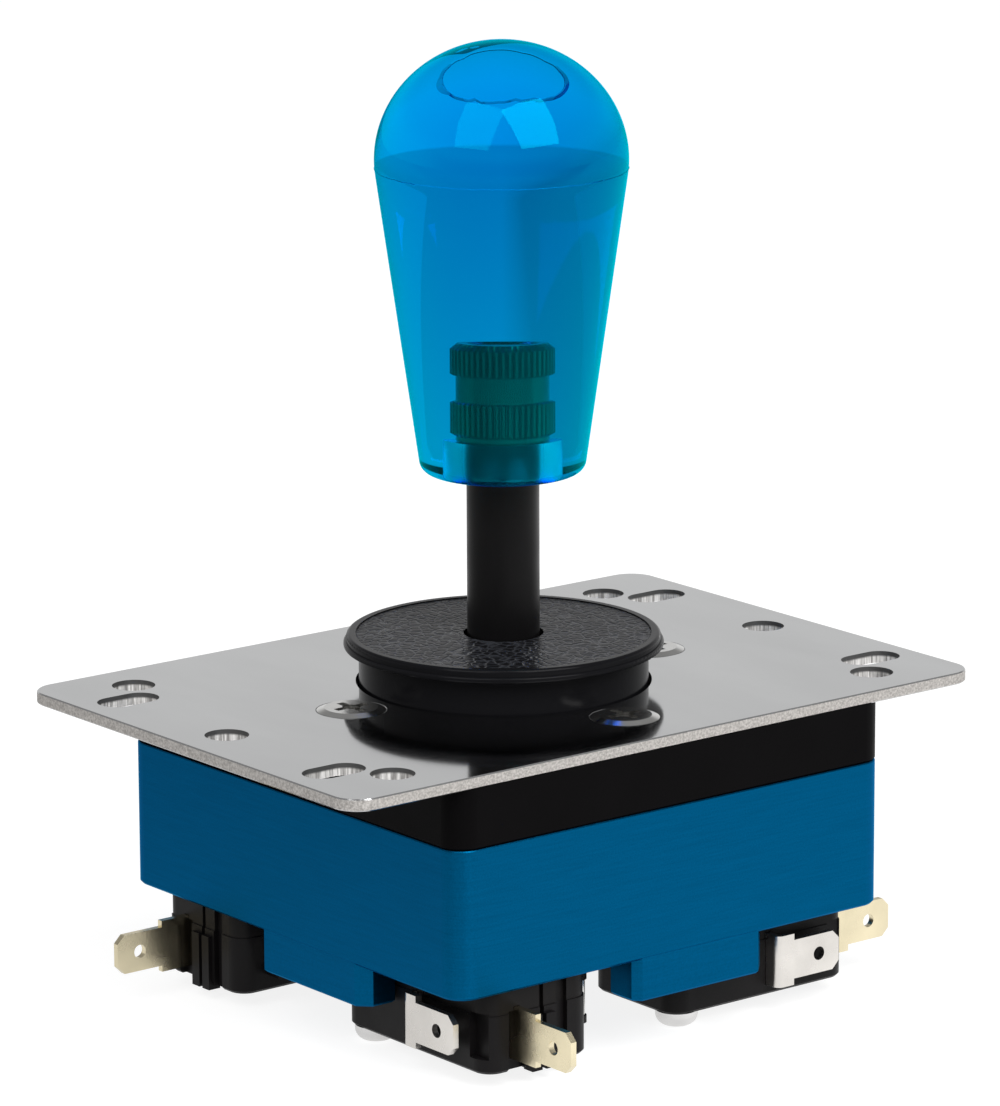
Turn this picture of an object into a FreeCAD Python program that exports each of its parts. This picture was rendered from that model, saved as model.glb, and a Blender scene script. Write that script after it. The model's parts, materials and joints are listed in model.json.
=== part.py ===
import FreeCAD, Part
import math
import os

# An eight-way arcade joystick lever: a bat knob on a swivelling steel shaft, a steel mounting
# plate, a two-part housing and four lever microswitches laid in a ring under it.
# Millimetres. The origin is the middle of the plate's top face. X runs along the plate's long
# side, Y along its short side and Z up the lever.

# Mounting plate, as wide as the housing under it
plate_end_margin = 6.6
plate_thickness = 1.5
plate_corner_radius = 3.5
plate_edge_break = 0.15
plate_hole_radius = 18.1

# Hole patterns of the plate, by the distances between hole centres. The round holes and the
# middle pair are placed from the slots: so far inside them and so far outside them at each end.
slot_pattern_length = 82.8
slot_pattern_width = 41.4
slot_length = 8.1
slot_radius = 2.4
round_pattern_inset = 4.5
round_pattern_width = 52.0
middle_pair_outset = 0.3
round_hole_radius = 2.65

# Countersunk plate screws, four on a circle round the lever
plate_screw_circle_radius = 23.3
plate_screw_head_radius = 4.2
plate_screw_radius = 2.0
plate_screw_length = 15.5
plate_screw_rise = 0.35
plate_screw_clearance = 0.1
plate_screw_tip_break = 0.4
plate_screw_crown_slope = 0.6
recess_depth = 1.5
recess_wing_length = 4.6
recess_wing_width = 1.0
recess_core_radius = 1.1

# Housing: the black upper part and the blue lower part share one square outline
housing_width = 66.0
housing_corner_radius = 3.0
housing_edge_break = 0.3
parting_edge_break = 0.12
top_housing_height = 7.4
lower_housing_height = 18.1

# Room in the upper part for the dust cap's skirt, and the hub with the ball seat
skirt_well_radius = 19.2
skirt_well_depth = 4.6
hub_radius = 10.8
throat_radius = 4.9

# Lever ball, centred in the middle of the plate's thickness
ball_radius = 8.0
ball_clearance = 0.05
ball_neck_radius = 6.0
ball_neck_height = 2.2
ball_bottom_drop = 7.1

# Dust cap: its rim is a lid on a slightly wider lip
cap_rim_radius = 19.55
cap_rim_thickness = 1.65
cap_top_height = 6.0
cap_lip_round = 0.3
cap_lid_radius = 19.2
cap_lid_thickness = 0.9
cap_lid_round = 0.45
cap_skirt_radius = 17.7
cap_skirt_wall = 1.5
cap_skirt_drop = 2.4
cap_hole_radius = 4.9
cap_recess_depth = 0.12
cap_recess_margin = 1.15
cap_boss_wall = 2.4

# Shaft and its sleeve
shaft_radius = 3.0
shaft_bottom = -38.2
shaft_tip_break = 0.5
shaft_clearance = 0.05
sleeve_radius = 4.43
sleeve_clearance = 0.1
end_gap = 0.1

# Bat knob
knob_bottom = 26.0
knob_bottom_radius = 9.95
knob_bottom_round = 1.4
knob_widest_radius = 15.3
knob_widest_height = 64.2
knob_taper = 0.143
knob_dome_height = 14.4
knob_shoulder_height = 2.4
knob_bore_radius = 4.76

# Threaded brass insert moulded into the knob
insert_bottom = 30.8
insert_length = 12.4
insert_radius = 4.2
insert_groove_radius = 3.75
insert_band_length = 4.6
insert_groove_length = 2.6
insert_top_break = 0.8
thread_depth = 11.2

# Well of the lower part and the square restrictor opening at its floor
well_radius = 15.0
restrictor_thickness = 3.8
restrictor_corner_radius = 1.5
lever_tilt_deg = 7.0
restrictor_clearance = 0.2

# Actuator, the nylon spool at the shaft's lower end
spool_flange_radius = 9.2
spool_flange_thickness = 2.0
spool_flange_top = -19.6
spool_neck_radius = 5.0
cam_radius = 6.8
cam_top = -29.2
cam_bottom = -35.8
cam_edge_round = 0.6

# Retaining clip
clip_thickness = 0.8
clip_outer_radius = 5.0
clip_groove_radius = 2.3
clip_mouth = 3.6
clip_clearance = 0.05
clip_notch_radius = 1.1
clip_notch_back = 0.6
clip_notch_out = 3.2

# Return spring
spring_wire_radius = 0.7
spring_mean_radius = 7.8
spring_turns = 4.5
spring_seat_depth = 0.9
spring_seat_clearance = 0.25
spring_end_gap = 0.05

# Microswitches: body sizes, and where one lies in the ring
switch_count = 4
switch_length = 27.8
switch_width = 15.9
switch_thickness = 10.3
switch_cover_thickness = 3.2
switch_outer_face = 27.8
switch_terminal_end = 31.7
switch_corner_radius = 2.4
switch_edge_break = 0.35
switch_hole_inset = 2.8
switch_hole_radius = 1.55
cover_step = 0.15

# Relief of the switch's terminal end and outer face, placed from the outer face and the end
end_recess_depth = 0.9
end_recess_width = 2.6
end_recess_drop = 7.4
end_groove_depth = 0.7
narrow_groove_inset = 8.3
narrow_groove_width = 0.6
wide_groove_inset = 11.3
wide_groove_width = 1.6
end_rib_start = 6.5
end_rib_width = 3.5
end_rib_out = 0.5
end_rib_drop = 0.5
end_rib_top = 6.3
side_notch_length = 2.6
side_notch_height = 5.6
side_notch_depth = 1.0
side_notch_inset = 0.6

# Switch plunger
plunger_inset = 4.8
plunger_radius = 1.4
plunger_clearance = 0.05
plunger_buried = 5.2
plunger_travel = 1.6
plunger_tip_gap = 0.1
plunger_tip_round = 0.84

# Leaf lever of a switch, which carries a pin at its root
leaf_inner_face = 9.0
leaf_thickness = 0.4
leaf_width = 4.3
leaf_reach = 5.2
leaf_hinge_inset = 5.2
leaf_eye_radius = 0.8
leaf_pin_radius = 0.45
leaf_pin_clearance = 0.05
ear_thickness = 0.9
ear_gap = 0.1
ear_radius = 1.0

# Flat tab terminals
tab_thickness = 0.8
tab_width = 4.9
tab_base_width = 6.5
tab_hole_radius = 0.85
tab_tip_break = 1.0
tab_height_from_bottom = 4.6
tab_buried = 3.0
com_tab_stand_off = 1.9
com_tab_start = 14.6
com_tab_length = 9.8
com_tab_base = 2.6
com_tab_hole_back = 3.2
com_tab_bend_radius = 0.9
no_tab_inset = 4.6
no_tab_length = 10.5
no_tab_base = 3.9
no_tab_hole_back = 3.3

# Button-head switch screws
switch_screw_radius = 1.45
switch_screw_head_radius = 2.6
switch_screw_head_height = 1.9
switch_screw_grip = 5.6
switch_screw_head_round = 1.42
switch_screw_hole_spare = 0.5
hex_socket_across = 2.0
hex_socket_depth = 1.0

# Lugs under the lower part: each stands outside one switch and keeps it from turning on its screw
lug_height = 5.2
lug_start = 6.1
lug_end = -14.5
lug_start_chamfer = 0.95
lug_end_chamfer = 1.6
lug_switch_gap = 0.3
lug_face_step = 0.08

# Sizes and levels that follow from the sizes above
plate_width = housing_width
plate_length = slot_pattern_length + 2 * plate_end_margin
round_pattern_length = slot_pattern_length - 2 * round_pattern_inset
middle_pair_length = slot_pattern_length + 2 * middle_pair_outset
plate_bottom = -plate_thickness
ball_centre = -plate_thickness / 2
parting_level = plate_bottom - top_housing_height
housing_bottom = parting_level - lower_housing_height
switch_bottom = housing_bottom - switch_thickness
switch_middle = housing_bottom - switch_thickness / 2
cover_level = housing_bottom - switch_cover_thickness
cap_underside = cap_top_height - cap_rim_thickness
hub_top = ball_centre
restrictor_top = housing_bottom + restrictor_thickness
tab_middle = switch_bottom + tab_height_from_bottom
insert_top = insert_bottom + insert_length
switch_inner_face = switch_outer_face - switch_width
switch_rear_end = switch_terminal_end - switch_length

# How far a joined piece runs into its neighbour, and how far a cutter runs past a face
overlap = 0.5
beyond = 1.0

up = FreeCAD.Vector(0, 0, 1)
axis_start = FreeCAD.Vector(0, 0, 0)


def point(x, y, z):
    return FreeCAD.Vector(x, y, z)


def rod(radius, bottom, top, x=0.0, y=0.0):
    return Part.makeCylinder(radius, top - bottom, point(x, y, bottom), up)


def cone(bottom_radius, top_radius, bottom, top, x=0.0, y=0.0):
    return Part.makeCone(bottom_radius, top_radius, top - bottom, point(x, y, bottom), up)


def block(x0, x1, y0, y1, z0, z1):
    return Part.makeBox(x1 - x0, y1 - y0, z1 - z0, point(x0, y0, z0))


def turned(shape, quarter):
    """The shape turned by quarter turns about the lever's axis."""
    copy = shape.copy()
    copy.rotate(axis_start, up, 90.0 * quarter)
    return copy


def revolved(points):
    """A closed outline of (radius, height) points, turned round the lever's axis."""
    corners = [point(radius, 0, height) for radius, height in points]
    outline = Part.makePolygon(corners + [corners[0]])
    return Part.Face(outline).revolve(axis_start, up, 360)


def rounded_block(length, width, radius, bottom, top):
    """An upright block centred on the axis, with its four standing edges rounded."""
    body = block(-length / 2, length / 2, -width / 2, width / 2, bottom, top)
    return body.makeFillet(radius, standing_edges(body))


def standing_edges(shape):
    found = []
    for edge in shape.Edges:
        start = edge.Vertexes[0].Point
        end = edge.Vertexes[-1].Point
        if abs(start.z - end.z) > 0.01 and abs(start.x - end.x) + abs(start.y - end.y) < 1e-6:
            found.append(edge)
    return found


def edges_at(shape, level):
    """Edges that lie wholly at one height."""
    found = []
    for edge in shape.Edges:
        box = edge.BoundBox
        if abs(box.ZMin - level) < 1e-4 and abs(box.ZMax - level) < 1e-4:
            found.append(edge)
    return found


def circles_at(shape, level, radius):
    """Round edges of one radius at one height."""
    return [edge for edge in edges_at(shape, level)
            if hasattr(edge.Curve, "Radius") and abs(edge.Curve.Radius - radius) < 1e-4]


def slot_cutter(x, y):
    half = slot_length / 2 - slot_radius
    bottom = plate_bottom - beyond
    top = beyond
    ends = rod(slot_radius, bottom, top, x - half, y).fuse(rod(slot_radius, bottom, top, x + half, y))
    return ends.fuse(block(x - half, x + half, y - slot_radius, y + slot_radius, bottom, top))


def screw_places():
    """The four plate screws, on the plate's two middle lines."""
    places = []
    for quarter in range(4):
        angle = math.pi / 2 * quarter
        places.append((plate_screw_circle_radius * math.cos(angle),
                       plate_screw_circle_radius * math.sin(angle)))
    return places


def countersink_cutter(x, y, extra):
    """Room for a screw with its cone, larger than the screw all round by extra."""
    head = plate_screw_head_radius + extra
    shank = plate_screw_radius + extra
    cone_depth = plate_screw_head_radius - plate_screw_radius
    hole = cone(shank, head, -cone_depth, 0, x, y)
    mouth = rod(head, 0, beyond, x, y)
    return hole.fuse([mouth, rod(shank, -plate_screw_length - beyond, 0, x, y)])


def mounting_plate():
    plate = rounded_block(plate_length, plate_width, plate_corner_radius, plate_bottom, 0)
    plate = plate.makeChamfer(plate_edge_break, edges_at(plate, 0) + edges_at(plate, plate_bottom))
    plate = plate.cut(rod(plate_hole_radius, plate_bottom - beyond, beyond))
    cutters = []
    for side_x in (-1, 1):
        x_middle = side_x * middle_pair_length / 2
        cutters.append(rod(round_hole_radius, plate_bottom - beyond, beyond, x_middle, 0))
        for side_y in (-1, 1):
            x_round = side_x * round_pattern_length / 2
            y_round = side_y * round_pattern_width / 2
            cutters.append(rod(round_hole_radius, plate_bottom - beyond, beyond, x_round, y_round))
            x_slot = side_x * slot_pattern_length / 2
            y_slot = side_y * slot_pattern_width / 2
            cutters.append(slot_cutter(x_slot, y_slot))
    for x, y in screw_places():
        cutters.append(countersink_cutter(x, y, plate_screw_clearance))
    return plate.cut(cutters)


def plate_screw(x, y):
    cone_depth = plate_screw_head_radius - plate_screw_radius
    crown = plate_screw_head_radius - plate_screw_rise - plate_screw_crown_slope
    tip_break = plate_screw_tip_break
    outline = revolved([(0, -plate_screw_length), (plate_screw_radius - tip_break, -plate_screw_length),
                        (plate_screw_radius, -plate_screw_length + tip_break),
                        (plate_screw_radius, -cone_depth), (plate_screw_head_radius, 0),
                        (crown, plate_screw_rise), (0, plate_screw_rise)])
    top = plate_screw_rise + beyond
    bottom = plate_screw_rise - recess_depth
    recess = rod(recess_core_radius, bottom, top)
    for quarter in (0, 1):
        half_length = recess_wing_length / 2
        half_width = recess_wing_width / 2
        wing = block(-half_length, half_length, -half_width, half_width, bottom, top)
        recess = recess.fuse(turned(wing, quarter))
    screw = outline.cut(recess)
    screw.translate(point(x, y, 0))
    return screw


def plate_screws():
    return Part.makeCompound([plate_screw(x, y) for x, y in screw_places()])


def top_housing():
    body = rounded_block(housing_width, housing_width, housing_corner_radius, parting_level, plate_bottom)
    body = body.makeChamfer(housing_edge_break, edges_at(body, parting_level))
    well_floor = plate_bottom - skirt_well_depth
    well = rod(skirt_well_radius, well_floor, plate_bottom + beyond)
    hub = rod(hub_radius, well_floor - overlap, hub_top)
    body = body.cut(well).fuse(hub).removeSplitter()
    seat = Part.makeSphere(ball_radius + ball_clearance, point(0, 0, ball_centre))
    body = body.cut([seat, rod(throat_radius, parting_level - beyond, ball_centre)])
    inner = spring_mean_radius - spring_wire_radius - spring_seat_clearance
    outer = spring_mean_radius + spring_wire_radius + spring_seat_clearance
    seat_top = parting_level + spring_seat_depth
    seat_bottom = parting_level - beyond
    body = body.cut(rod(outer, seat_bottom, seat_top).cut(rod(inner, seat_bottom, seat_top)))
    holes = [countersink_cutter(x, y, plate_screw_clearance) for x, y in screw_places()]
    return body.cut(holes)


def restrictor_half_width():
    """Half the square opening: the spool's neck at full tilt, at the lower housing's bottom."""
    tilt = math.radians(lever_tilt_deg)
    both = math.acos(math.cos(tilt) ** 2)
    arm = ball_centre - housing_bottom
    return arm * math.tan(tilt) / math.cos(tilt) + spool_neck_radius / math.cos(both) + restrictor_clearance


def restrictor_opening():
    width = 2 * restrictor_half_width()
    return rounded_block(width, width, restrictor_corner_radius, housing_bottom - beyond,
                         restrictor_top + beyond)


def lug():
    """One lug, under the side that faces -X, with its two outer corners cut off."""
    face = -housing_width / 2 + lug_face_step
    inside = -switch_outer_face - lug_switch_gap
    half_wall = (inside - face) / 2
    start_cut = min(lug_start_chamfer, half_wall)
    end_cut = min(lug_end_chamfer, half_wall)
    bottom = housing_bottom - lug_height
    corners = [(inside, lug_start), (face + start_cut, lug_start), (face, lug_start - start_cut),
               (face, lug_end + end_cut), (face + end_cut, lug_end), (inside, lug_end)]
    outline = [point(x, y, bottom) for x, y in corners]
    wall = Part.Face(Part.makePolygon(outline + [outline[0]]))
    body = wall.extrude(point(0, 0, lug_height + housing_edge_break))
    return body.makeChamfer(housing_edge_break, edges_at(body, bottom))


def switch_hole_places():
    """Two corners of one switch, opposite each other. A screw goes through the first."""
    outer_row = -switch_outer_face + switch_hole_inset
    inner_row = -switch_inner_face - switch_hole_inset
    rear = -switch_rear_end - switch_hole_inset
    front = -switch_terminal_end + switch_hole_inset
    return [(outer_row, rear), (inner_row, front)]


def lower_housing():
    body = rounded_block(housing_width, housing_width, housing_corner_radius, housing_bottom, parting_level)
    body = body.makeChamfer(parting_edge_break, edges_at(body, parting_level))
    body = body.makeChamfer(housing_edge_break, edges_at(body, housing_bottom))
    body = body.fuse([turned(lug(), quarter) for quarter in range(switch_count)])
    body = body.cut(rod(well_radius, restrictor_top, parting_level + beyond))
    body = body.cut(restrictor_opening())
    holes = []
    for x, y in screw_places():
        holes.append(rod(plate_screw_radius + plate_screw_clearance, -plate_screw_length - beyond,
                         parting_level + beyond, x, y))
    grip_top = housing_bottom + switch_screw_grip + switch_screw_hole_spare
    x, y = switch_hole_places()[0]
    hole = rod(switch_screw_radius + shaft_clearance, housing_bottom - beyond, grip_top, x, y)
    holes += [turned(hole, quarter) for quarter in range(switch_count)]
    return body.cut(holes)


def pivot_ball():
    ball = Part.makeSphere(ball_radius, point(0, 0, ball_centre))
    shoulder = cap_underside - ball_neck_height
    below = rod(ball_radius + beyond, ball_centre - ball_bottom_drop, shoulder)
    neck = rod(ball_neck_radius, shoulder - overlap, cap_underside)
    ball = ball.common(below).fuse(neck)
    bore = rod(shaft_radius + shaft_clearance, -ball_radius - beyond, cap_underside + beyond)
    return ball.cut(bore).removeSplitter()


def dust_cap():
    lip_top = cap_top_height - cap_lid_thickness
    lip = rod(cap_rim_radius, cap_underside, lip_top)
    lip = lip.makeFillet(cap_lip_round, circles_at(lip, cap_underside, cap_rim_radius)
                         + circles_at(lip, lip_top, cap_rim_radius))
    lid = rod(cap_lid_radius, cap_underside, cap_top_height)
    lid = lid.makeFillet(cap_lid_round, circles_at(lid, cap_top_height, cap_lid_radius))
    skirt = rod(cap_skirt_radius, -cap_skirt_drop, cap_underside + overlap)
    skirt = skirt.cut(rod(cap_skirt_radius - cap_skirt_wall, -cap_skirt_drop - beyond, cap_underside))
    boss_bottom = cap_underside - ball_neck_height + shaft_clearance
    boss = rod(ball_neck_radius + cap_boss_wall, boss_bottom, cap_underside + overlap)
    boss = boss.cut(rod(ball_neck_radius + shaft_clearance, boss_bottom - beyond, cap_underside))
    cap = lip.fuse([lid, skirt, boss]).removeSplitter()
    above = cap_top_height + beyond
    recess = rod(cap_lid_radius - cap_recess_margin, cap_top_height - cap_recess_depth, above)
    return cap.cut([recess, rod(cap_hole_radius, boss_bottom - beyond, above)])


def shaft():
    clip_top = cam_bottom - clip_clearance
    clip_bottom = clip_top - clip_thickness - clip_clearance
    top = insert_bottom + thread_depth - end_gap
    return revolved([(0, shaft_bottom), (shaft_radius - shaft_tip_break, shaft_bottom),
                     (shaft_radius, shaft_bottom + shaft_tip_break), (shaft_radius, clip_bottom),
                     (clip_groove_radius, clip_bottom), (clip_groove_radius, clip_top + clip_clearance),
                     (shaft_radius, clip_top + clip_clearance), (shaft_radius, top - shaft_tip_break),
                     (shaft_radius - shaft_tip_break, top), (0, top)])


def shaft_sleeve():
    inner = shaft_radius + sleeve_clearance
    bottom = cap_underside + end_gap
    top = insert_bottom
    return rod(sleeve_radius, bottom, top).cut(rod(inner, bottom - beyond, top + beyond))


def dome_curve():
    """A quarter ellipse from the knob's widest point up to its top."""
    steps = 8
    points = []
    for step in range(steps):
        angle = math.pi / 2 * step / steps
        points.append(point(knob_widest_radius * math.cos(angle), 0,
                            knob_widest_height + knob_dome_height * math.sin(angle)))
    points.append(point(0, 0, knob_widest_height + knob_dome_height))
    dome = Part.BSplineCurve()
    dome.interpolate(points, InitialTangent=up, FinalTangent=point(-1, 0, 0))
    return dome


def knob_outline():
    """Half of the knob's section: bottom, rounded edge, taper, shoulder and elliptical dome."""
    widest = point(knob_widest_radius, 0, knob_widest_height)
    taper_top = knob_widest_height - knob_shoulder_height
    taper_bottom = knob_bottom + knob_bottom_round
    foot = point(knob_bottom_radius + knob_taper * knob_bottom_round, 0, taper_bottom)
    head = point(foot.x + knob_taper * (taper_top - taper_bottom), 0, taper_top)
    flat_end = point(knob_bottom_radius - knob_bottom_round, 0, knob_bottom)
    fall = knob_bottom_round * (1 - math.sqrt(0.5))
    corner = point(knob_bottom_radius - fall, 0, knob_bottom + fall)
    top = point(0, 0, knob_widest_height + knob_dome_height)
    along_taper = (head - foot).normalize()
    shoulder = Part.BSplineCurve()
    shoulder.interpolate([head, widest], InitialTangent=along_taper, FinalTangent=up)
    edges = [Part.makeLine(point(0, 0, knob_bottom), flat_end),
             Part.Arc(flat_end, corner, foot).toShape(), Part.makeLine(foot, head),
             shoulder.toShape(), dome_curve().toShape(), Part.makeLine(top, point(0, 0, knob_bottom))]
    return Part.Wire(edges)


def insert_outline():
    lower_band = insert_bottom + insert_band_length
    upper_band = lower_band + insert_groove_length
    return [(0, insert_bottom), (insert_radius, insert_bottom), (insert_radius, lower_band),
            (insert_groove_radius, lower_band), (insert_groove_radius, upper_band),
            (insert_radius, upper_band), (insert_radius, insert_top - insert_top_break),
            (insert_radius - insert_top_break, insert_top), (0, insert_top)]


def knob():
    body = Part.Face(knob_outline()).revolve(axis_start, up, 360)
    return body.cut([revolved(insert_outline()), rod(knob_bore_radius, knob_bottom - beyond, insert_bottom)])


def knob_insert():
    body = revolved(insert_outline())
    thread = rod(shaft_radius + shaft_clearance, insert_bottom - beyond, insert_bottom + thread_depth)
    return body.cut(thread)


def actuator():
    bore = shaft_radius + shaft_clearance
    flange_bottom = spool_flange_top - spool_flange_thickness
    spool = rod(spool_flange_radius, flange_bottom, spool_flange_top)
    spool = spool.fuse([rod(spool_neck_radius, cam_top - overlap, flange_bottom + overlap),
                        rod(cam_radius, cam_bottom, cam_top)]).removeSplitter()
    rims = circles_at(spool, cam_top, cam_radius) + circles_at(spool, cam_bottom, cam_radius)
    spool = spool.makeFillet(cam_edge_round, rims)
    spool = spool.makeChamfer(housing_edge_break, circles_at(spool, flange_bottom, spool_flange_radius)
                              + circles_at(spool, spool_flange_top, spool_flange_radius))
    return spool.cut(rod(bore, cam_bottom - beyond, spool_flange_top + beyond))


def e_clip():
    top = cam_bottom - clip_clearance
    bottom = top - clip_thickness
    plate = rod(clip_outer_radius, bottom, top)
    below = bottom - beyond
    above = top + beyond
    hole = rod(clip_groove_radius + clip_clearance, below, above)
    mouth = block(0, clip_outer_radius + beyond, -clip_mouth / 2, clip_mouth / 2, below, above)
    notches = []
    for side in (-1, 1):
        notches.append(rod(clip_notch_radius, below, above, -clip_notch_back, side * clip_notch_out))
    return plate.cut([hole, mouth] + notches)


def return_spring():
    """A coil between its seat in the upper housing and the spool's flange."""
    bottom = spool_flange_top + spring_end_gap + spring_wire_radius
    top = parting_level + spring_seat_depth - spring_end_gap - spring_wire_radius
    height = top - bottom
    path = Part.makeHelix(height / spring_turns, height, spring_mean_radius)
    section = Part.Wire(Part.makeCircle(spring_wire_radius, point(spring_mean_radius, 0, 0),
                                        point(0, 1, 0)))
    coil = Part.Wire(path).makePipeShell([section], True, True)
    coil.translate(point(0, 0, bottom))
    return coil


def switch_block(bottom, top, inset):
    """Part of one switch's body between two heights, set in from its outline."""
    body = block(-switch_outer_face + inset, -switch_inner_face - inset,
                 -switch_terminal_end + inset, -switch_rear_end - inset, bottom, top)
    return body.makeFillet(switch_corner_radius - inset, standing_edges(body))


def end_groove(inset, width):
    """A standing groove in the terminal end, through the rib too where it crosses it."""
    middle = -switch_outer_face + inset
    end = -switch_terminal_end
    return block(middle - width / 2, middle + width / 2, end - end_rib_out - beyond,
                 end + end_groove_depth, switch_bottom - end_rib_drop - beyond, housing_bottom + beyond)


def switch_openings():
    """What is cut from one switch's body: its two holes, end recess, grooves and side notch."""
    cutters = []
    for x, y in switch_hole_places():
        cutters.append(rod(switch_hole_radius, switch_bottom - beyond, housing_bottom + beyond, x, y))
    end = -switch_terminal_end
    no_tab = -switch_outer_face + no_tab_inset
    half_recess = end_recess_width / 2
    cutters.append(block(no_tab - half_recess, no_tab + half_recess, end - beyond,
                         end + end_recess_depth, switch_bottom - beyond,
                         switch_bottom + end_recess_drop))
    cutters.append(end_groove(narrow_groove_inset, narrow_groove_width))
    cutters.append(end_groove(wide_groove_inset, wide_groove_width))
    face = -switch_outer_face
    notch_end = end + side_notch_inset + side_notch_length
    notch_half = side_notch_height / 2
    cutters.append(block(face - beyond, face + side_notch_depth, end + side_notch_inset, notch_end,
                         tab_middle - notch_half, tab_middle + notch_half))
    return cutters


def com_pocket():
    """Slot in the outer face that the common terminal comes out of."""
    half = tab_base_width / 2 + shaft_clearance
    start = -switch_rear_end - com_tab_start - com_tab_base
    face = -switch_outer_face
    width = tab_thickness + shaft_clearance
    return block(face - beyond, face + tab_buried + shaft_clearance, start + com_tab_base - width,
                 start + com_tab_base + shaft_clearance, tab_middle - half, tab_middle + half)


def no_pocket():
    """Slot in the end face that the normally open terminal comes out of."""
    half = tab_base_width / 2 + shaft_clearance
    end = -switch_terminal_end
    middle = -switch_outer_face + no_tab_inset
    half_width = tab_thickness / 2 + shaft_clearance
    return block(middle - half_width, middle + half_width, end - beyond,
                 end + tab_buried + shaft_clearance, tab_middle - half, tab_middle + half)


def plunger_bore():
    reach = plunger_buried + plunger_travel + beyond
    return Part.makeCylinder(plunger_radius + plunger_clearance, reach + beyond,
                             point(-switch_inner_face - reach, plunger_line(), switch_middle),
                             point(1, 0, 0))


def plunger_line():
    return -switch_rear_end - plunger_inset


def hinge_place():
    """Axis of the leaf lever's pin, as x and y."""
    x = -leaf_inner_face - leaf_eye_radius
    y = -switch_terminal_end + leaf_hinge_inset
    return x, y


def hinge_ear(bottom, top):
    """One ear on the switch's inner face, with a hole for the leaf lever's pin."""
    x, y = hinge_place()
    face = -switch_inner_face
    ear = block(face - overlap, x, y - ear_radius, y + ear_radius, bottom, top)
    ear = ear.fuse(rod(ear_radius, bottom, top, x, y))
    return ear.cut(rod(leaf_pin_radius + leaf_pin_clearance, bottom - beyond, top + beyond, x, y))


def end_rib():
    """A raised block on the terminal end that reaches a little below the case."""
    start = -switch_outer_face + end_rib_start
    end = -switch_terminal_end
    return block(start, start + end_rib_width, end - end_rib_out, end + end_groove_depth + overlap,
                 switch_bottom - end_rib_drop, switch_bottom + end_rib_top)


def switch_case():
    body = switch_block(switch_bottom, cover_level, 0)
    body = body.makeChamfer(switch_edge_break, edges_at(body, switch_bottom))
    body = body.fuse(end_rib())
    body = body.cut(switch_openings() + [com_pocket(), no_pocket(), plunger_bore()])
    ear_top = switch_middle - leaf_width / 2 - ear_gap
    return body.fuse(hinge_ear(ear_top - ear_thickness, ear_top)).removeSplitter()


def switch_cover():
    body = switch_block(cover_level, housing_bottom, cover_step)
    body = body.cut(switch_openings() + [com_pocket(), no_pocket(), plunger_bore()])
    ear_bottom = switch_middle + leaf_width / 2 + ear_gap
    return body.fuse(hinge_ear(ear_bottom, ear_bottom + ear_thickness)).removeSplitter()


def switch_plunger():
    tip = -leaf_inner_face - leaf_thickness - plunger_tip_gap
    back = -switch_inner_face - plunger_buried
    body = Part.makeCylinder(plunger_radius, tip - back, point(back, plunger_line(), switch_middle),
                             point(1, 0, 0))
    rim = [edge for edge in body.Edges if abs(edge.BoundBox.XMin - tip) < 1e-4]
    return body.makeFillet(plunger_tip_round, rim)


def switch_leaf():
    """The leaf lever: a flat strip with a rolled eye at its root and a pin through the eye."""
    x, y = hinge_place()
    bottom = switch_middle - leaf_width / 2
    top = switch_middle + leaf_width / 2
    inner = -leaf_inner_face
    strip = block(inner - leaf_thickness, inner, y, leaf_reach, bottom, top)
    eye = rod(leaf_eye_radius, bottom, top, x, y)
    pin_length = ear_gap + ear_thickness
    pin = rod(leaf_pin_radius, bottom - pin_length, top + pin_length, x, y)
    return strip.fuse([eye, pin]).removeSplitter()


def tab(length, base_length, base_start, hole_back):
    """A flat terminal lying in the YZ plane at x = 0, from y = 0 out to y = -length."""
    half = tab_width / 2
    base_half = tab_base_width / 2
    tip = -length
    base_end = -base_length
    corners = [(base_start, -base_half), (base_end, -base_half), (base_end, -half),
               (tip + tab_tip_break, -half), (tip, -half + tab_tip_break), (tip, half - tab_tip_break),
               (tip + tab_tip_break, half), (base_end, half), (base_end, base_half),
               (base_start, base_half)]
    outline = [point(-tab_thickness / 2, y, z) for y, z in corners]
    plate = Part.Face(Part.makePolygon(outline + [outline[0]])).extrude(point(tab_thickness, 0, 0))
    hole = Part.makeCylinder(tab_hole_radius, tab_thickness + 2 * beyond,
                             point(-tab_thickness / 2 - beyond, tip + hole_back, 0), point(1, 0, 0))
    return plate.cut(hole)


def no_terminal():
    terminal = tab(no_tab_length, no_tab_base, tab_buried, no_tab_hole_back)
    terminal.translate(point(-switch_outer_face + no_tab_inset, -switch_terminal_end, tab_middle))
    return terminal


def com_terminal():
    """The common terminal: out of the outer face, then bent along it towards the end."""
    root = -switch_rear_end - com_tab_start
    plane = -switch_outer_face - com_tab_stand_off
    flat = tab(com_tab_length, com_tab_base, 0, com_tab_hole_back)
    flat.translate(point(plane, root, tab_middle))
    half = tab_base_width / 2
    foot = block(plane - tab_thickness / 2, -switch_outer_face + tab_buried, root - tab_thickness, root,
                 tab_middle - half, tab_middle + half)
    bent = flat.fuse(foot).removeSplitter()
    corner = [edge for edge in standing_edges(bent)
              if abs(edge.Vertexes[0].Point.x - (plane - tab_thickness / 2)) < 1e-4
              and abs(edge.Vertexes[0].Point.y - root) < 1e-4]
    return bent.makeFillet(com_tab_bend_radius, corner)


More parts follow.
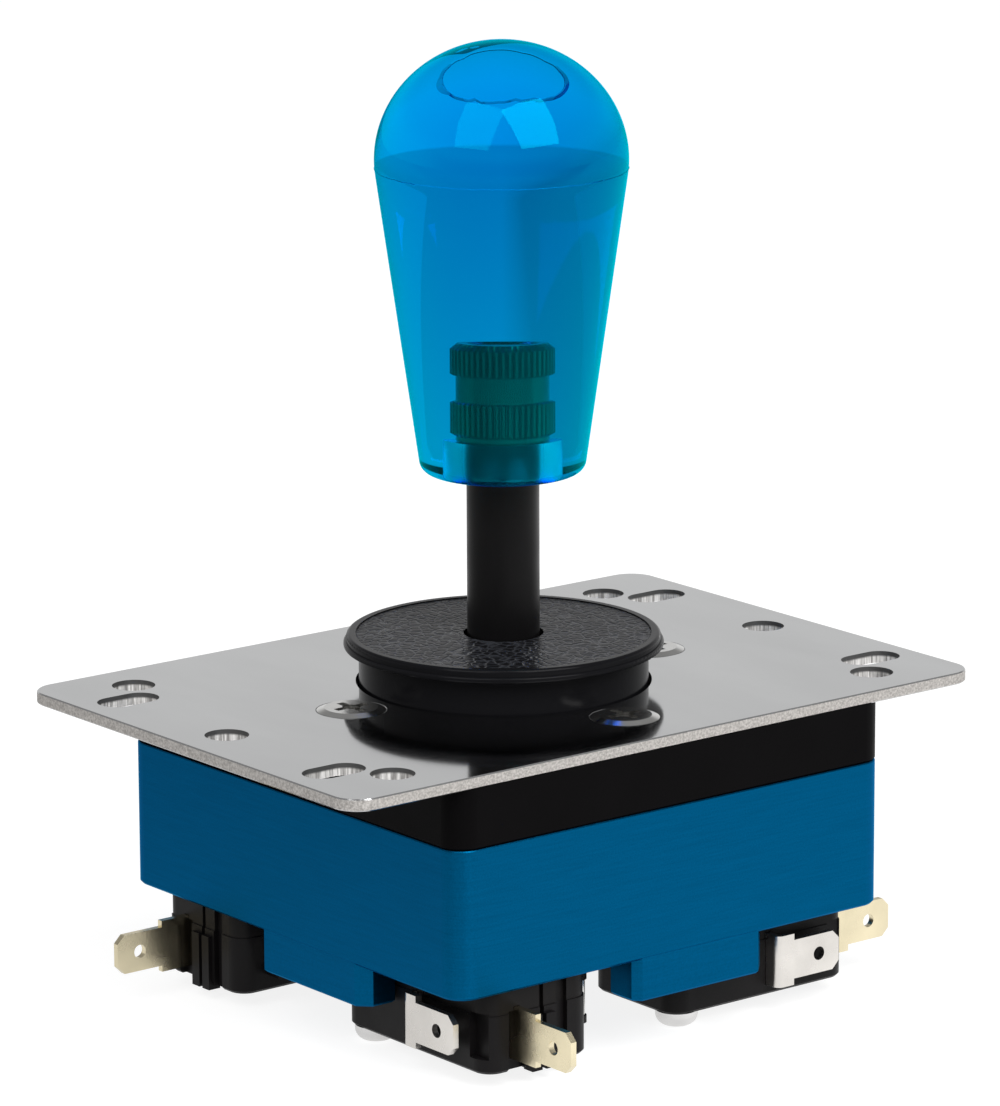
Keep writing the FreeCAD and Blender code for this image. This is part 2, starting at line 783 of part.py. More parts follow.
def switch_screw(x, y):
    """A button-head screw, driven up through the switch into the housing."""
    head_bottom = switch_bottom - switch_screw_head_height
    head = rod(switch_screw_head_radius, head_bottom, switch_bottom)
    head = head.makeFillet(switch_screw_head_round,
                           circles_at(head, head_bottom, switch_screw_head_radius))
    shank = rod(switch_screw_radius, switch_bottom - overlap, housing_bottom + switch_screw_grip)
    corner_radius = hex_socket_across / math.sqrt(3)
    corners = []
    for corner in range(6):
        angle = math.pi / 3 * corner
        corners.append(point(corner_radius * math.cos(angle), corner_radius * math.sin(angle), head_bottom))
    socket = Part.Face(Part.makePolygon(corners + [corners[0]])).extrude(point(0, 0, hex_socket_depth))
    head.translate(point(x, y, 0))
    shank.translate(point(x, y, 0))
    socket.translate(point(x, y, 0))
    return head.fuse(shank).removeSplitter().cut(socket)


def switch_screws():
    x, y = switch_hole_places()[0]
    return Part.makeCompound([turned(switch_screw(x, y), quarter) for quarter in range(switch_count)])


def lever_parts():
    return {"mounting_plate": mounting_plate(), "plate_screws": plate_screws(),
            "top_housing": top_housing(), "lower_housing": lower_housing(),
            "pivot_ball": pivot_ball(), "dust_cap": dust_cap(), "shaft": shaft(),
            "shaft_sleeve": shaft_sleeve(), "knob": knob(), "knob_insert": knob_insert(),
            "actuator": actuator(), "e_clip": e_clip(), "return_spring": return_spring(),
            "switch_screws": switch_screws()}


def switch_parts():
    """The pieces of one switch, which the ring repeats every quarter turn."""
    return {"switch_case": switch_case(), "switch_cover": switch_cover(),
            "switch_plunger": switch_plunger(), "switch_leaf": switch_leaf(),
            "com_terminal": com_terminal(), "no_terminal": no_terminal()}


def main():
    os.makedirs("parts", exist_ok=True)
    nodes = lever_parts()
    for name, shape in switch_parts().items():
        for quarter in range(switch_count):
            nodes[name + "_" + str(quarter + 1)] = turned(shape, quarter)
    for name, shape in nodes.items():
        if not shape.isValid():
            print("not valid:", name)
        print(name, "solids", len(shape.Solids), "volume", round(shape.Volume, 1))
        shape.exportStep("parts/" + name + ".step")


main()
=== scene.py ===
import json
import math

import bmesh
import bpy
from mathutils import Matrix, Vector

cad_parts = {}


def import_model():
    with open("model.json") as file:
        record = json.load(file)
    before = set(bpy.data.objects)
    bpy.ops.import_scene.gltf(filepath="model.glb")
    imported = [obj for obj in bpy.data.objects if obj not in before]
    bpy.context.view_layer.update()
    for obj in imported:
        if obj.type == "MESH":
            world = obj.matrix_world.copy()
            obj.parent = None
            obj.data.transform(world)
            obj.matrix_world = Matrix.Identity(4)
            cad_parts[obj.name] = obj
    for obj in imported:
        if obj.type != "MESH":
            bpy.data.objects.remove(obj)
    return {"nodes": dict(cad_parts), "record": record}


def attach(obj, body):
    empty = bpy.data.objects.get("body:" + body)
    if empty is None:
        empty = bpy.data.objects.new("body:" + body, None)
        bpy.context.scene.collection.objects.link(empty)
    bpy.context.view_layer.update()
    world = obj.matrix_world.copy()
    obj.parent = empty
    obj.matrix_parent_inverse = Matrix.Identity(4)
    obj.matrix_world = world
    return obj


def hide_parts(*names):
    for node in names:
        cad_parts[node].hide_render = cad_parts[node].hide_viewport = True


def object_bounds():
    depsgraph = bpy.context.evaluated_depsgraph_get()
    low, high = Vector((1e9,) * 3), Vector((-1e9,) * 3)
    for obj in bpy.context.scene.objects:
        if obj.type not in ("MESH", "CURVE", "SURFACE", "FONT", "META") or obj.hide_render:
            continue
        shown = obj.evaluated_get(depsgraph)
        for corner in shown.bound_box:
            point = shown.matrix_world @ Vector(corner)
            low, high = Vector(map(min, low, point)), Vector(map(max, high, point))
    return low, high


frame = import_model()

CAD_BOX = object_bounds()
MM = 0.001
NODES = frame["nodes"]


# ---------------------------------------------------------------- node helpers

USUAL, NARROW = (0.3, 0.7), (0.35, 0.65)    # where most of a noise lies, and a harder cut of it


class Tree:
    """A node tree, built up by small calls. A value is another node's socket or a constant."""

    def __init__(self, tree):
        self.tree = tree

    def node(self, kind, **values):
        made = self.tree.nodes.new(kind)
        for key, value in values.items():
            setattr(made, key, value)
        return made

    def link(self, a, b):
        self.tree.links.new(a, b)

    def feed(self, sockets, values):
        """Links each value to its socket, or writes it there."""
        for socket, value in zip(sockets, values):
            if isinstance(value, bpy.types.NodeSocket):
                self.link(value, socket)
            elif socket.type == "RGBA":
                socket.default_value = (*value, 1)
            else:
                socket.default_value = value

    def math(self, operation, *values):
        made = self.node("ShaderNodeMath", operation=operation)
        self.feed(made.inputs, values)
        return made.outputs[0]

    def product(self, first, *others):
        for other in others:
            first = self.math("MULTIPLY", first, other)
        return first

    def dot(self, place, way):
        """How far a place, or a direction, goes along a way."""
        made = self.node("ShaderNodeVectorMath", operation="DOT_PRODUCT")
        self.feed(made.inputs, (place, way))
        return made.outputs["Value"]

    def span(self, value, low, high, start=0.0, end=1.0, kind="LINEAR"):
        """value brought from start..end to low..high, and held there."""
        made = self.node("ShaderNodeMapRange", interpolation_type=kind)
        names = ("Value", "From Min", "From Max", "To Min", "To Max")
        self.feed([made.inputs[name] for name in names], (value, start, end, low, high))
        return made.outputs["Result"]

    def mix(self, fac, a, b):
        """Colour a where fac is 0, and b where it is 1."""
        made = self.node("ShaderNodeMix", data_type="RGBA")
        self.feed((made.inputs[0], made.inputs[6], made.inputs[7]), (fac, a, b))
        return made.outputs[2]

    def blend(self, fac, a, b):
        """Number a where fac is 0, and b where it is 1."""
        made = self.node("ShaderNodeMix", data_type="FLOAT")
        self.feed((made.inputs[0], made.inputs[2], made.inputs[3]), (fac, a, b))
        return made.outputs[0]


class Material(Tree):
    """A node material with one Principled shader."""

    def __init__(self, name, color, metallic, roughness, specular=0.5):
        self.mat = bpy.data.materials.new(name)
        self.mat.use_nodes = True
        super().__init__(self.mat.node_tree)
        self.shader = self.tree.nodes["Principled BSDF"]
        self.shader.inputs["Base Color"].default_value = (*color, 1)
        self.shader.inputs["Metallic"].default_value = metallic
        self.shader.inputs["Roughness"].default_value = roughness
        self.shader.inputs["Specular IOR Level"].default_value = specular
        self.mat.diffuse_color = (*color, 1)

    def coords(self, stretch=(1, 1, 1)):
        """Object coordinates in metres, stretched along the axes."""
        source = self.node("ShaderNodeTexCoord")
        mapping = self.node("ShaderNodeMapping")
        mapping.inputs["Scale"].default_value = stretch
        self.link(source.outputs["Object"], mapping.inputs["Vector"])
        return mapping.outputs["Vector"]

    def place_mm(self):
        """x, y and z of the object's own frame, in millimetres."""
        split = self.node("ShaderNodeSeparateXYZ")
        self.link(self.coords((1 / MM, 1 / MM, 1 / MM)), split.inputs[0])
        return tuple(split.outputs)

    def radius_mm(self):
        """Distance from the object's own Z axis, in millimetres."""
        x, y, _ = self.place_mm()
        return self.math("SQRT", self.math("ADD", self.product(x, x), self.product(y, y)))

    def height_mm(self):
        return self.place_mm()[2]

    def facing_up(self):
        """1 on faces that look up or down, 0 on upright ones."""
        source = self.node("ShaderNodeTexCoord")
        split = self.node("ShaderNodeSeparateXYZ")
        self.link(source.outputs["Normal"], split.inputs[0])
        return self.span(self.math("ABSOLUTE", split.outputs[2]), 0.0, 1.0, 0.45, 0.75)

    def noise(self, size_mm, detail=3.0, stretch=(1, 1, 1), roughness=0.55, output="Fac"):
        """Noise whose blotches are about size_mm across."""
        made = self.node("ShaderNodeTexNoise")
        made.inputs["Scale"].default_value = 1 / (size_mm * MM)
        made.inputs["Detail"].default_value = detail
        made.inputs["Roughness"].default_value = roughness
        self.link(self.coords(stretch), made.inputs["Vector"])
        return made.outputs[output]

    def mottle(self, noise, dark, light, part=USUAL):
        """One colour to another over that part of a noise."""
        return self.mix(self.span(noise, 0.0, 1.0, *part), dark, light)

    def color(self, value):
        self.link(value, self.shader.inputs["Base Color"])

    def roughness(self, value):
        self.link(value, self.shader.inputs["Roughness"])

    def bump(self, height, depth_mm, strength=1.0):
        """Bump from a height of 0 to 1, that deep, over the bumps made before."""
        made = self.node("ShaderNodeBump")
        made.inputs["Strength"].default_value = strength
        made.inputs["Distance"].default_value = depth_mm * MM
        self.link(height, made.inputs["Height"])
        socket = self.shader.inputs["Normal"]
        if socket.is_linked:
            self.link(socket.links[0].from_socket, made.inputs["Normal"])
        self.link(made.outputs["Normal"], socket)


def shades(color, *factors):
    """The colour times each factor."""
    return tuple(tuple(min(1.0, part * factor) for part in color) for factor in factors)


# ---------------------------------------------------------------- materials

PLATE_INNER = (46.2, 31.6)      # upright faces within these half sizes are walls of holes
WALL_TOP_SHADE = (-0.75, -0.5)         # heights over which a hole's torn wall turns into painted shade near its top
LID_EDGE = (17.85, 18.05)       # radii where the cap's grain ends
LID_LEVEL = (5.6, 5.75)         # heights where it starts
BORE_EDGE = (4.9, 5.2)          # radii where the matt wall of the knob's bore ends
BORE_LEVEL = (31.0, 31.5)       # heights where it ends
UNEVEN_COLOR, UNEVEN_GLOSS = 0.12, 0.15


def blue_anodised():
    """Brushed aluminium under a blue oxide: level streaks and a fine speckle."""
    color = (0.0003, 0.090, 0.212)
    made = Material("blue_anodised", color, 0.95, 0.36, 0.3)
    made.shader.inputs["Specular Tint"].default_value = (0.05, 0.65, 1.0, 1)
    made.shader.inputs["Anisotropic"].default_value = 0.6
    made.shader.inputs["Anisotropic Rotation"].default_value = 0.25
    streaks = made.noise(0.25, stretch=(0.04, 0.04, 1.0))
    speckle = made.noise(0.22)
    tone = made.math("ADD", made.product(streaks, 0.35), made.product(speckle, 0.65))
    made.color(made.mottle(tone, *shades(color, 0.87, 1.13), NARROW))
    made.roughness(made.span(speckle, 0.32, 0.42, *USUAL))
    made.bump(streaks, 0.005, 0.5)
    made.bump(speckle, 0.008, 0.5)
    return made.mat


def plate_steel():
    """Bright top and underside, grainy cut edges, and punched holes with torn walls, which are painted near
    black as shade at their tops.
    """
    color = (0.525, 0.53, 0.535)
    made = Material("plate_steel", color, 1.0, 0.08)
    flat = made.facing_up()
    x, y, z = made.place_mm()
    in_hole = made.product(made.math("LESS_THAN", made.math("ABSOLUTE", x), PLATE_INNER[0]),
                           made.math("LESS_THAN", made.math("ABSOLUTE", y), PLATE_INNER[1]))
    # Painted shade: the top of each hole wall turns near black.
    painted_wall_shade = made.product(made.span(z, 0.0, 1.0, *WALL_TOP_SHADE), in_hole)
    drag = made.noise(0.35, stretch=(1.0, 1.0, 0.06))
    smear = made.noise(16.0, 4.0, (1.0, 0.35, 1.0))
    fine = made.noise(0.35, stretch=(1.0, 0.08, 1.0))
    edge_grain = made.noise(0.28, 4.0)
    top = made.mottle(smear, *shades(color, 0.93, 1.06))
    side = made.mottle(edge_grain, (0.36, 0.34, 0.32), (0.66, 0.63, 0.60), NARROW)
    torn = made.mottle(drag, (0.30, 0.29, 0.28), (0.92, 0.90, 0.88), (0.38, 0.62))
    # Hole walls: torn grain below, with painted near-black shade at the top.
    wall = made.mix(in_hole, side, made.mix(painted_wall_shade, torn, (0.07, 0.07, 0.07)))
    made.color(made.mix(flat, wall, top))
    made.roughness(made.blend(flat, made.span(edge_grain, 0.35, 0.6, *USUAL),
                              made.span(smear, 0.06, 0.10, *USUAL)))
    made.link(made.span(flat, 0.35, 1.0), made.shader.inputs["Metallic"])
    made.bump(fine, 0.0015, 0.5)
    made.bump(made.product(edge_grain, made.math("SUBTRACT", 1.0, flat)), 0.06, 0.8)
    return made.mat


def cap_plastic():
    """Leather-grained top, with a painted highlight along the edges of the grain's cells, inside a smooth
    glossy rim.
    """
    color = (0.006, 0.006, 0.007)
    made = Material("cap_plastic", color, 0.0, 0.25, 0.06)
    mask = made.product(made.span(made.radius_mm(), 1.0, 0.0, *LID_EDGE),
                        made.span(made.height_mm(), 0.0, 1.0, *LID_LEVEL))
    bend = made.node("ShaderNodeVectorMath", operation="MULTIPLY_ADD")
    made.feed(bend.inputs, (made.noise(1.5, 2.0, roughness=0.5, output="Color"),
                            (0.9 * MM, 0.9 * MM, 0.0), made.coords((1, 1, 0))))
    cells = made.node("ShaderNodeTexVoronoi", feature="DISTANCE_TO_EDGE")
    cells.inputs["Scale"].default_value = 1 / (1.15 * MM)
    made.link(bend.outputs[0], cells.inputs["Vector"])
    pebble = made.span(cells.outputs["Distance"], 0.0, 1.0, 0.0, 0.17)
    # Painted highlight: a lighter colour along the edges of the grain's cells.
    painted_vein_highlight = made.product(made.math("SUBTRACT", 1.0, pebble), mask)
    made.color(made.mix(painted_vein_highlight, color, (0.034, 0.036, 0.042)))
    made.roughness(made.math("ADD", made.product(mask, 0.10),
                             made.span(made.noise(6.0), 0.16, 0.22, *USUAL)))
    made.bump(made.product(pebble, mask), 0.14, 0.8)
    made.bump(made.noise(0.2, 2.0), 0.004, 0.5)
    return made.mat


def knob_acrylic():
    """Clear blue all through, with a matt bore."""
    made = Material("knob_acrylic", (1.0, 1.0, 1.0), 0.0, 0.0)
    made.shader.inputs["Transmission Weight"].default_value = 1.0
    made.shader.inputs["IOR"].default_value = 1.49
    made.shader.inputs["Specular Tint"].default_value = (0.15, 0.80, 1.0, 1)
    made.shader.inputs["Coat Weight"].default_value = 1.0
    made.shader.inputs["Coat IOR"].default_value = 1.0
    made.shader.inputs["Coat Tint"].default_value = (0.02, 0.985, 1.0, 1)
    bore = made.product(made.span(made.radius_mm(), 0.22, 0.0, *BORE_EDGE),
                        made.span(made.height_mm(), 1.0, 0.0, *BORE_LEVEL))
    made.roughness(made.math("ADD", bore, made.span(made.noise(4.0), 0.0, 0.012, *USUAL)))
    made.color(made.mix(made.noise(12.0), (0.94, 0.98, 1.0), (1.0, 1.0, 1.0)))
    made.bump(made.noise(7.0, 1.0), 0.002, 0.3)
    absorb = made.node("ShaderNodeVolumeAbsorption")
    absorb.inputs["Color"].default_value = (0.02, 0.735, 0.940, 1)
    absorb.inputs["Density"].default_value = 170.0
    made.link(absorb.outputs[0], made.tree.nodes["Material Output"].inputs["Volume"])
    made.mat.diffuse_color = (0.0, 0.33, 0.62, 0.6)
    return made.mat


def plain(name, color, metallic, roughness, specular, grain_mm, depth_mm, stretch=(1, 1, 1)):
    """A surface with blotches of colour, uneven roughness and a fine grain."""
    made = Material(name, color, metallic, roughness, specular)
    made.color(made.mottle(made.noise(9.0, 4.0), *shades(color, 1 - UNEVEN_COLOR, 1 + UNEVEN_COLOR)))
    made.roughness(made.span(made.noise(5.0), roughness * (1 - UNEVEN_GLOSS),
                             roughness * (1 + UNEVEN_GLOSS), *USUAL))
    made.bump(made.noise(grain_mm, 2.0, stretch), depth_mm)
    return made.mat


# Colour, metallic, roughness, specular level, size and depth of the grain in mm, and its stretch.
PLAIN = {
    "screw_steel": ((0.66, 0.655, 0.64), 1.0, 0.20, 0.5, 0.30, 0.003),
    "black_housing": ((0.0030, 0.0027, 0.0030), 0.0, 0.42, 0.03, 0.25, 0.012),
    "ball_nylon": ((0.02, 0.02, 0.021), 0.0, 0.35, 0.4, 0.50, 0.010),
    "shaft_steel": ((0.70, 0.69, 0.67), 1.0, 0.14, 0.5, 0.20, 0.002, (1, 1, 0.1)),
    "sleeve_plastic": ((0.0045, 0.0042, 0.0045), 0.0, 0.32, 0.12, 0.20, 0.006),
    "insert_brass": ((0.26, 0.20, 0.11), 1.0, 0.20, 0.5, 0.30, 0.004),
    "actuator_nylon": ((0.62, 0.60, 0.55), 0.0, 0.42, 0.5, 0.50, 0.010),
    "clip_steel": ((0.08, 0.08, 0.085), 1.0, 0.38, 0.5, 0.50, 0.010),
    "spring_steel": ((0.55, 0.54, 0.53), 1.0, 0.22, 0.5, 0.20, 0.004),
    "switch_black": ((0.0070, 0.0062, 0.0066), 0.0, 0.42, 0.14, 0.18, 0.010),
    "switch_grey": ((0.0085, 0.0075, 0.0074), 0.0, 0.45, 0.14, 0.18, 0.010),
    "plunger_plastic": ((0.30, 0.03, 0.02), 0.0, 0.35, 0.5, 0.50, 0.010),
    "leaf_steel": ((0.66, 0.65, 0.63), 1.0, 0.24, 0.5, 0.25, 0.003, (1, 0.1, 1)),
    "silver_tab": ((0.72, 0.69, 0.65), 1.0, 0.27, 0.5, 0.35, 0.008),
    "brass_tab": ((0.82, 0.73, 0.51), 1.0, 0.27, 0.5, 0.35, 0.008),
    "button_screw": ((0.78, 0.77, 0.76), 1.0, 0.20, 0.5, 0.40, 0.003),
}
READY = {"plate_steel": plate_steel(), "blue_housing": blue_anodised(),
         "cap_plastic": cap_plastic(), "knob_acrylic": knob_acrylic()}
READY.update({slot: plain(slot, *row) for slot, row in PLAIN.items()})


def dress_cad_nodes():
    """Gives every CAD node the material of its slot in the record."""
    for part in frame["record"]["subparts"]:
        mesh = NODES[part["node"]].data
        mesh.materials.clear()
        mesh.materials.append(READY[part["material_slot"]])


# ---------------------------------------------------------------- geometry, in millimetres

KNOB_BOTTOM, KNOB_BOTTOM_RADIUS, KNOB_ROUND = 26.0, 9.95, 1.4
KNOB_WIDE_RADIUS, KNOB_WIDE_HEIGHT, KNOB_DOME = 15.3, 64.2, 14.4
KNOB_TAPER, KNOB_SHOULDER = 0.143, 2.4
BORE_RADIUS, BORE_CHAMFER, INSERT_GAP = 4.76, 0.15, 0.05
ROUND_STEPS, TAPER_STEPS, SHOULDER_STEPS, DOME_STEPS, KNOB_STEPS = 8, 20, 10, 60, 400
SEAM_HEIGHT, SEAM_BEAD, SEAM_HALF, SEAM_CLEAR = 63.25, 0.07, 0.04, 0.17
SEAM_WAVE, SEAM_ROUGH = 0.02, 0.09
INSERT_BOTTOM, INSERT_TOP, INSERT_RADIUS, NECK_RADIUS = 30.8, 43.2, 4.2, 3.75
KNURL_TEETH, KNURL_FROM = 42, 4.0
KNURL_TOOTH = (0.0, 0.0, 0.0, 0.0, -0.12, -0.42, -0.42, -0.12)


def finish_piece(mesh_data, name, slot, body, smooth_angle):
    """A new piece from a bmesh, dressed, smoothed and riding on its body."""
    mesh = bpy.data.meshes.new(name)
    bmesh.ops.recalc_face_normals(mesh_data, faces=mesh_data.faces)
    mesh_data.to_mesh(mesh)
    mesh_data.free()
    piece = bpy.data.objects.new(name, mesh)
    bpy.context.scene.collection.objects.link(piece)
    mesh.materials.append(READY[slot])
    mesh.shade_smooth()
    mesh.set_sharp_from_angle(angle=math.radians(smooth_angle))
    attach(piece, body)
    return piece


def lathe(profile, segments, change):
    """An outline of (radius, height) that starts and ends on the axis, turned round Z, as a bmesh.

    change(radius, height, step) may move a point of the outline from one step to the next.
    """
    made = bmesh.new()
    rings = []
    for radius, height in profile:
        if radius < 1e-6:
            rings.append([made.verts.new((0, 0, height * MM))])
            continue
        ring = []
        for step in range(segments):
            angle = math.tau * step / segments
            r, z = change(radius, height, step)
            ring.append(made.verts.new((r * math.cos(angle) * MM, r * math.sin(angle) * MM, z * MM)))
        rings.append(ring)
    for low, high in zip(rings, rings[1:]):
        for step in range(segments):
            after = (step + 1) % segments
            if len(low) == 1:
                made.faces.new((low[0], high[step], high[after]))
            elif len(high) == 1:
                made.faces.new((low[step], low[after], high[0]))
            else:
                made.faces.new((low[step], low[after], high[after], high[step]))
    return made


def knob_profile():
    """Outline of the clear knob: bore, bottom, taper, shoulder, seam and dome."""
    middle_r, middle_z = KNOB_BOTTOM_RADIUS - KNOB_ROUND, KNOB_BOTTOM + KNOB_ROUND
    foot_r = KNOB_BOTTOM_RADIUS + KNOB_TAPER * KNOB_ROUND
    head_z = KNOB_WIDE_HEIGHT - KNOB_SHOULDER
    head_r = foot_r + KNOB_TAPER * (head_z - middle_z)

    def shoulder(height):
        """Radius that leaves the taper smoothly and ends upright at the widest height."""
        t = (height - head_z) / KNOB_SHOULDER
        slope = KNOB_TAPER * KNOB_SHOULDER
        return ((2 * t ** 3 - 3 * t ** 2 + 1) * head_r + (t ** 3 - 2 * t ** 2 + t) * slope
                + (-2 * t ** 3 + 3 * t ** 2) * KNOB_WIDE_RADIUS)

    profile = [(0.0, INSERT_BOTTOM + INSERT_GAP), (BORE_RADIUS, INSERT_BOTTOM + INSERT_GAP),
               (BORE_RADIUS, KNOB_BOTTOM + BORE_CHAMFER), (BORE_RADIUS + BORE_CHAMFER, KNOB_BOTTOM),
               (middle_r, KNOB_BOTTOM)]
    for step in range(1, ROUND_STEPS + 1):
        angle = math.pi / 2 * step / ROUND_STEPS
        lean = KNOB_TAPER * KNOB_ROUND * step / ROUND_STEPS
        profile.append((middle_r + KNOB_ROUND * math.sin(angle) + lean,
                        middle_z - KNOB_ROUND * math.cos(angle)))
    for step in range(1, TAPER_STEPS + 1):
        part = step / TAPER_STEPS
        profile.append((foot_r + (head_r - foot_r) * part, middle_z + (head_z - middle_z) * part))
    rises = [head_z + KNOB_SHOULDER * step / SHOULDER_STEPS for step in range(1, SHOULDER_STEPS + 1)]
    points = [(height, 0.0) for height in rises if abs(height - SEAM_HEIGHT) > SEAM_CLEAR]
    points += [(SEAM_HEIGHT - SEAM_HALF, 0.0), (SEAM_HEIGHT, SEAM_BEAD), (SEAM_HEIGHT + SEAM_HALF, 0.0)]
    profile += [(shoulder(height) + out, height) for height, out in sorted(points)]
    for step in range(1, DOME_STEPS):
        angle = math.pi / 2 * step / DOME_STEPS
        profile.append((KNOB_WIDE_RADIUS * math.cos(angle), KNOB_WIDE_HEIGHT + KNOB_DOME * math.sin(angle)))
    profile.append((0.0, KNOB_WIDE_HEIGHT + KNOB_DOME))
    return profile


def clear_knob():
    """The clear knob. Its seam wavers a little, as a flash line left by the mould does."""
    def waver(radius, height, step):
        if abs(height - SEAM_HEIGHT) > SEAM_HALF + 0.01:
            return radius, height
        turn = math.tau * step / KNOB_STEPS
        rough = (math.sin(step * 12.9898) * 43758.5453) % 1.0 - 0.5
        waves = SEAM_WAVE * math.sin(13 * turn) + SEAM_WAVE * math.sin(37 * turn + 1.0)
        return radius, height + waves + SEAM_ROUGH * rough

    piece = finish_piece(lathe(knob_profile(), KNOB_STEPS, waver), "clear_knob", "knob_acrylic", "stick", 50)
    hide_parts("knob")


def knurled_insert():
    """The brass insert with two straight-knurled bands and a plain groove between them."""
    def knurl(radius, height, step):
        return (radius + KNURL_TOOTH[step % len(KNURL_TOOTH)] if radius > KNURL_FROM else radius), height

    profile = [(0.0, INSERT_BOTTOM), (3.6, INSERT_BOTTOM), (NECK_RADIUS, INSERT_BOTTOM + 0.2),
               (NECK_RADIUS, 31.5), (INSERT_RADIUS, 31.85), (INSERT_RADIUS, 35.7),
               (3.95, 35.9), (NECK_RADIUS, 35.92), (NECK_RADIUS, 39.08), (3.95, 39.1),
               (INSERT_RADIUS, 39.3), (INSERT_RADIUS, 42.4), (3.6, INSERT_TOP), (3.0, INSERT_TOP),
               (2.6, INSERT_TOP - 0.25), (0.0, INSERT_TOP - 0.25)]
    turned = lathe(profile, KNURL_TEETH * len(KNURL_TOOTH), knurl)
    piece = finish_piece(turned, "knurled_insert", "insert_brass", "stick", 30)
    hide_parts("knob_insert")


dress_cad_nodes()
clear_knob()
knurled_insert()


# ---------------------------------------------------------------- floor, light and camera

BACKDROP = (0.619, 0.785, 0.0)      # the level way from the photographer to the backdrop
ACROSS = (0.785, -0.619, 0.0)       # from the photograph's left to its right
SKY_LIGHT = 0.45
DIM_SIDE, DIM_WALL, DIM_TOP = 0.06, 0.90, 0.35      # low and higher up behind the photographer, above
DIM_LEFT = 0.6
FLOOR_SIZE, FLOOR_COLOR, FLOOR_GLOW = 6.0, 0.25, 0.86
SHEET_EDGE, SHEET_PAST = (0.39, 0.41), 0.66         # where the sheet under the object ends, and past it
CAMERA_YAW, CAMERA_PITCH, CAMERA_ROLL = 38.24, 13.46, 0.25
CAMERA_PLACE = (-0.45674, -0.57895, 0.19227)
FOCAL_PIXELS, PHOTO_HEIGHT, SENSOR = 6238.0, 1106.0, 36.0
LAMP_AIM = Vector((0, 0, 0.02))
# Name, azimuth and elevation in degrees, distance, width and height in metres, and power in watts.
LAMPS = (("key", 180, 46, 1.2, 0.80, 0.95, 14.0),
         ("fill", -113, 45, 1.2, 0.70, 0.95, 6.0))


def floor():
    """A pale floor under the lowest screw heads. It keeps the object's shadow.

    Its glow makes it white to the camera, in the metal and behind the clear knob.
    """
    mesh = bpy.data.meshes.new("floor")
    signs = ((-1, -1), (1, -1), (1, 1), (-1, 1))
    mesh.from_pydata([(x * FLOOR_SIZE, y * FLOOR_SIZE, CAD_BOX[0][2]) for x, y in signs], [], [(0, 1, 2, 3)])
    ground = bpy.data.objects.new("floor", mesh)
    bpy.context.scene.collection.objects.link(ground)
    mat = bpy.data.materials.new("floor")
    mat.use_nodes = True
    made = Tree(mat.node_tree)
    made.tree.nodes.clear()
    spot = made.node("ShaderNodeTexCoord").outputs["Object"]
    path = made.node("ShaderNodeLightPath").outputs

    def ramp(way, start, end, low, high):
        """low to high over that many metres along a way on the floor."""
        return made.span(made.dot(spot, way), low, high, start, end)

    behind_knob = made.product(ramp(BACKDROP, *SHEET_EDGE, 1.0, SHEET_PAST),
                               ramp(BACKDROP, -0.15, 0.15, 0.3, 1.0),
                               ramp(ACROSS, -0.3, 0.0, DIM_LEFT, 1.0))
    in_metal = made.product(ramp(ACROSS, -0.15, 0.05, 0.4, 1.0), ramp(BACKDROP, -0.30, -0.15, 0.10, 1.0))
    through = made.product(path["Is Transmission Ray"], behind_knob)
    mirrored = made.math("SUBTRACT", path["Is Glossy Ray"], path["Is Transmission Ray"])
    seen = made.math("MAXIMUM", through, made.product(mirrored, in_metal))
    seen = made.math("MAXIMUM", path["Is Camera Ray"], seen)
    diffuse = made.node("ShaderNodeBsdfDiffuse")
    diffuse.inputs["Color"].default_value = (FLOOR_COLOR, FLOOR_COLOR, FLOOR_COLOR, 1)
    glow = made.node("ShaderNodeEmission")
    made.link(made.product(seen, FLOOR_GLOW), glow.inputs["Strength"])
    total = made.node("ShaderNodeAddShader")
    made.link(diffuse.outputs[0], total.inputs[0])
    made.link(glow.outputs[0], total.inputs[1])
    made.link(total.outputs[0], made.node("ShaderNodeOutputMaterial").inputs["Surface"])
    mesh.materials.append(mat)


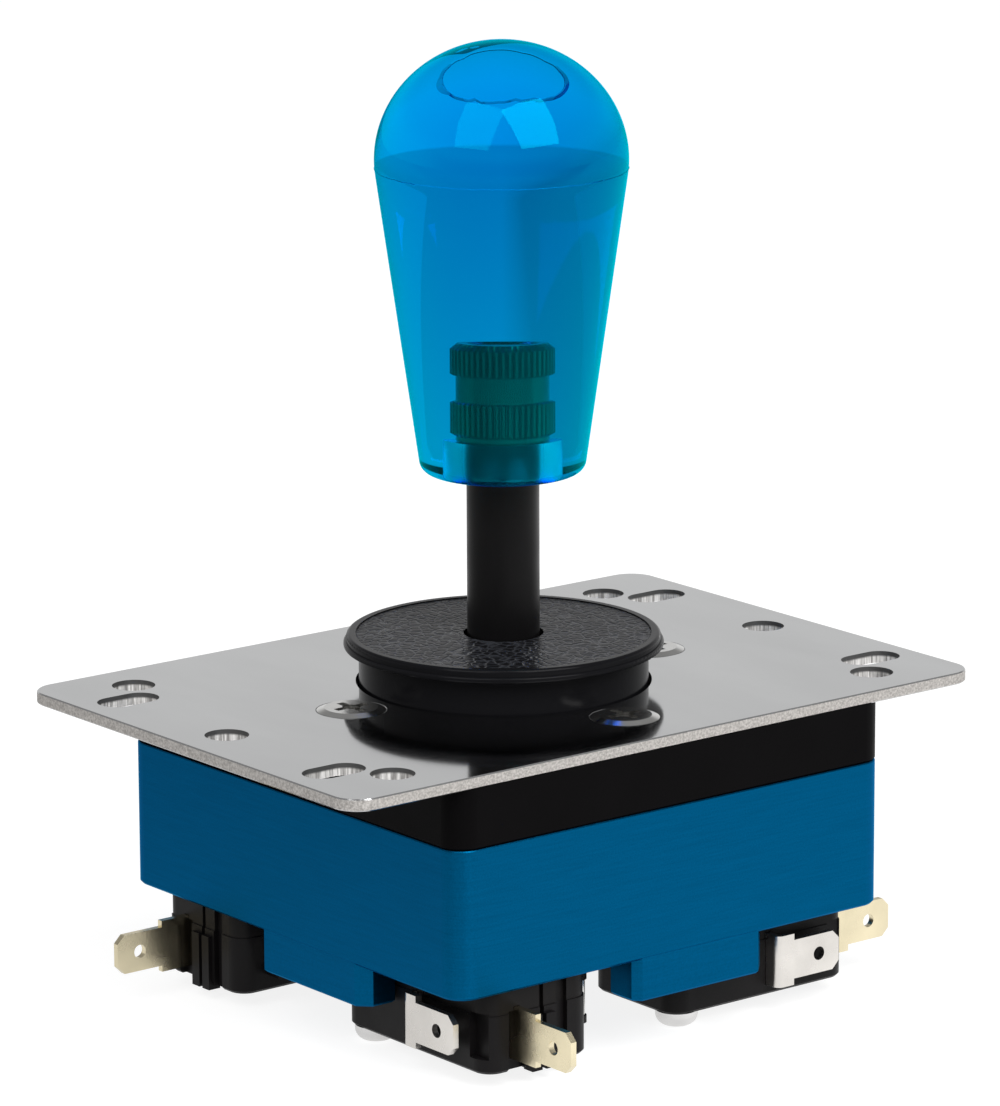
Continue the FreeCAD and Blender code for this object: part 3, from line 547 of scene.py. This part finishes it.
def world():
    """A white studio to the camera, with a dim side where the photographer stands.

    Metal also meets a lighter wall above that side and a backdrop that ends above, and the clear
    knob shows the left side dimmer.
    """
    sky = bpy.data.worlds.new("studio")
    bpy.context.scene.world = sky
    sky.use_nodes = True
    made = Tree(sky.node_tree)
    made.tree.nodes.clear()
    direction = made.node("ShaderNodeTexCoord").outputs["Generated"]
    split = made.node("ShaderNodeSeparateXYZ")
    made.link(direction, split.inputs[0])
    depth, side, rise = made.dot(direction, BACKDROP), made.dot(direction, ACROSS), split.outputs[2]
    path = made.node("ShaderNodeLightPath").outputs

    def smooth(value, start, end, low, high):
        return made.span(value, low, high, start, end, "SMOOTHSTEP")

    around = made.math("MAXIMUM", smooth(depth, -0.75, -0.15, DIM_SIDE, 1.0),
                       smooth(rise, 0.05, 0.30, DIM_SIDE, DIM_WALL))
    in_metal = made.product(around, smooth(rise, 0.20, 0.50, 1.0, DIM_TOP))
    behind_knob = made.product(smooth(depth, -0.6, 0.6, DIM_SIDE, 1.0),
                               smooth(side, -0.5, 0.0, DIM_LEFT, 1.0))
    strength = made.blend(path["Is Camera Ray"], SKY_LIGHT, 1.0)
    strength = made.blend(path["Is Glossy Ray"], strength, in_metal)
    strength = made.blend(path["Is Transmission Ray"], strength, behind_knob)
    background = made.node("ShaderNodeBackground")
    made.link(strength, background.inputs["Strength"])
    made.link(background.outputs[0], made.node("ShaderNodeOutputWorld").inputs["Surface"])


def softbox(name, azimuth, elevation, distance, width, height, power):
    """A rectangular lamp that looks at the object. Azimuth 0 is on +Y, and 90 on +X."""
    lamp = bpy.data.lights.new(name, "AREA")
    lamp.shape = "RECTANGLE"
    lamp.size, lamp.size_y = width, height
    lamp.energy = power
    made = bpy.data.objects.new(name, lamp)
    bpy.context.scene.collection.objects.link(made)
    a, e = math.radians(azimuth), math.radians(elevation)
    place = Vector((math.sin(a) * math.cos(e), math.cos(a) * math.cos(e), math.sin(e))) * distance
    made.location = place + LAMP_AIM
    made.rotation_euler = (-place).to_track_quat("-Z", "Y").to_euler()


def camera():
    """The photograph's viewpoint, found from the plate's corners and holes."""
    yaw, pitch, roll = (math.radians(angle) for angle in (CAMERA_YAW, CAMERA_PITCH, CAMERA_ROLL))
    forward = Vector((math.sin(yaw) * math.cos(pitch), math.cos(yaw) * math.cos(pitch), -math.sin(pitch)))
    level = Vector((math.cos(yaw), -math.sin(yaw), 0))
    down = forward.cross(level)
    right = level * math.cos(roll) + down * math.sin(roll)
    down = down * math.cos(roll) - level * math.sin(roll)
    data = bpy.data.cameras.new("camera")
    data.sensor_fit = "VERTICAL"
    data.sensor_height = SENSOR
    data.lens = FOCAL_PIXELS * SENSOR / PHOTO_HEIGHT
    data.clip_start = 0.05
    data.clip_end = 30.0
    made = bpy.data.objects.new("camera", data)
    bpy.context.scene.collection.objects.link(made)
    turn = Matrix((right, -down, -forward)).transposed()
    made.matrix_world = Matrix.Translation(CAMERA_PLACE) @ turn.to_4x4()
    bpy.context.scene.camera = made


floor()
world()
for row in LAMPS:
    softbox(*row)
camera()
bpy.context.scene.view_settings.view_transform = "Standard"
